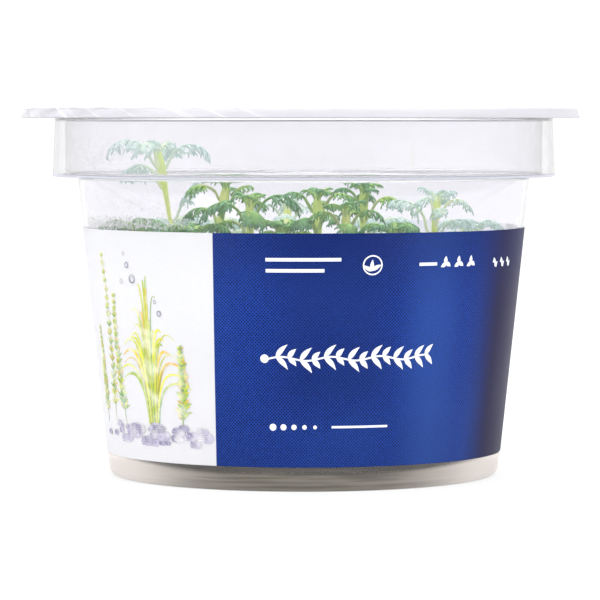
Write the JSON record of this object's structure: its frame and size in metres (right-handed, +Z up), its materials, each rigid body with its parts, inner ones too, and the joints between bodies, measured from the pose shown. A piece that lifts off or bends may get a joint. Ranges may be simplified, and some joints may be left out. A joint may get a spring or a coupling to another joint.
{
  "type": "tissue culture american featherfoil",
  "caption": "Clear tapered culture cup with a flanged lid and a wrap label, holding a bed of gel and upright plantlets with feathery, drooping leaves.",
  "frame": {"origin": "centre of the cup's flat underside, on the cup's axis", "axes": "+Z up along the cup's axis; -Y to the front, which the picture shows; +X to the right"},
  "size_m": [0.1011, 0.1, 0.0665],
  "materials": {
    "clear_plastic": "clear, glossy, faintly lilac",
    "lid_plastic": "clear, slightly hazy",
    "label_film": "printed film, half gloss, blue with a white field",
    "gel_jelly": "wet, cloudy, brownish",
    "stem_green": "moist, pale yellow-green",
    "leaf_green": "moist, soft green"
  },
  "bodies": {
    "root": {"culture_cup": "clear_plastic", "nutrient_gel": "gel_jelly", "plantlet_1_leaf_1": "leaf_green", "plantlet_1_leaf_2": "leaf_green", "plantlet_1_leaf_3": "leaf_green", "plantlet_1_leaf_4": "leaf_green", "plantlet_1_leaf_5": "leaf_green", "plantlet_1_leaf_6": "leaf_green", "plantlet_1_stem": "stem_green", "plantlet_2_leaf_1": "leaf_green", "plantlet_2_leaf_2": "leaf_green", "plantlet_2_leaf_3": "leaf_green", "plantlet_2_leaf_4": "leaf_green", "plantlet_2_leaf_5": "leaf_green", "plantlet_2_stem": "stem_green", "plantlet_3_leaf_1": "leaf_green", "plantlet_3_leaf_2": "leaf_green", "plantlet_3_leaf_3": "leaf_green", "plantlet_3_leaf_4": "leaf_green", "plantlet_3_leaf_5": "leaf_green", "plantlet_3_stem": "stem_green", "plantlet_4_leaf_1": "leaf_green", "plantlet_4_leaf_2": "leaf_green", "plantlet_4_leaf_3": "leaf_green", "plantlet_4_leaf_4": "leaf_green", "plantlet_4_leaf_5": "leaf_green", "plantlet_4_stem": "stem_green", "plantlet_5_leaf_1": "leaf_green", "plantlet_5_leaf_2": "leaf_green", "plantlet_5_leaf_3": "leaf_green", "plantlet_5_leaf_4": "leaf_green", "plantlet_5_leaf_5": "leaf_green", "plantlet_5_stem": "stem_green", "plantlet_6_leaf_1": "leaf_green", "plantlet_6_leaf_2": "leaf_green", "plantlet_6_leaf_3": "leaf_green", "plantlet_6_leaf_4": "leaf_green", "plantlet_6_leaf_5": "leaf_green", "plantlet_6_leaf_6": "leaf_green", "plantlet_6_stem": "stem_green", "plantlet_7_leaf_1": "leaf_green", "plantlet_7_leaf_2": "leaf_green", "plantlet_7_leaf_3": "leaf_green", "plantlet_7_leaf_4": "leaf_green", "plantlet_7_leaf_5": "leaf_green", "plantlet_7_stem": "stem_green", "plantlet_8_leaf_1": "leaf_green", "plantlet_8_leaf_2": "leaf_green", "plantlet_8_leaf_3": "leaf_green", "plantlet_8_leaf_4": "leaf_green", "plantlet_8_stem": "stem_green", "short_plantlet_1": "leaf_green", "short_plantlet_2": "leaf_green", "short_plantlet_3": "leaf_green", "short_plantlet_4": "leaf_green", "short_plantlet_5": "leaf_green", "short_plantlet_6": "leaf_green", "short_plantlet_7": "leaf_green", "snap_lid": "lid_plastic", "wrap_label": "label_film"}
  },
  "joints": []
}
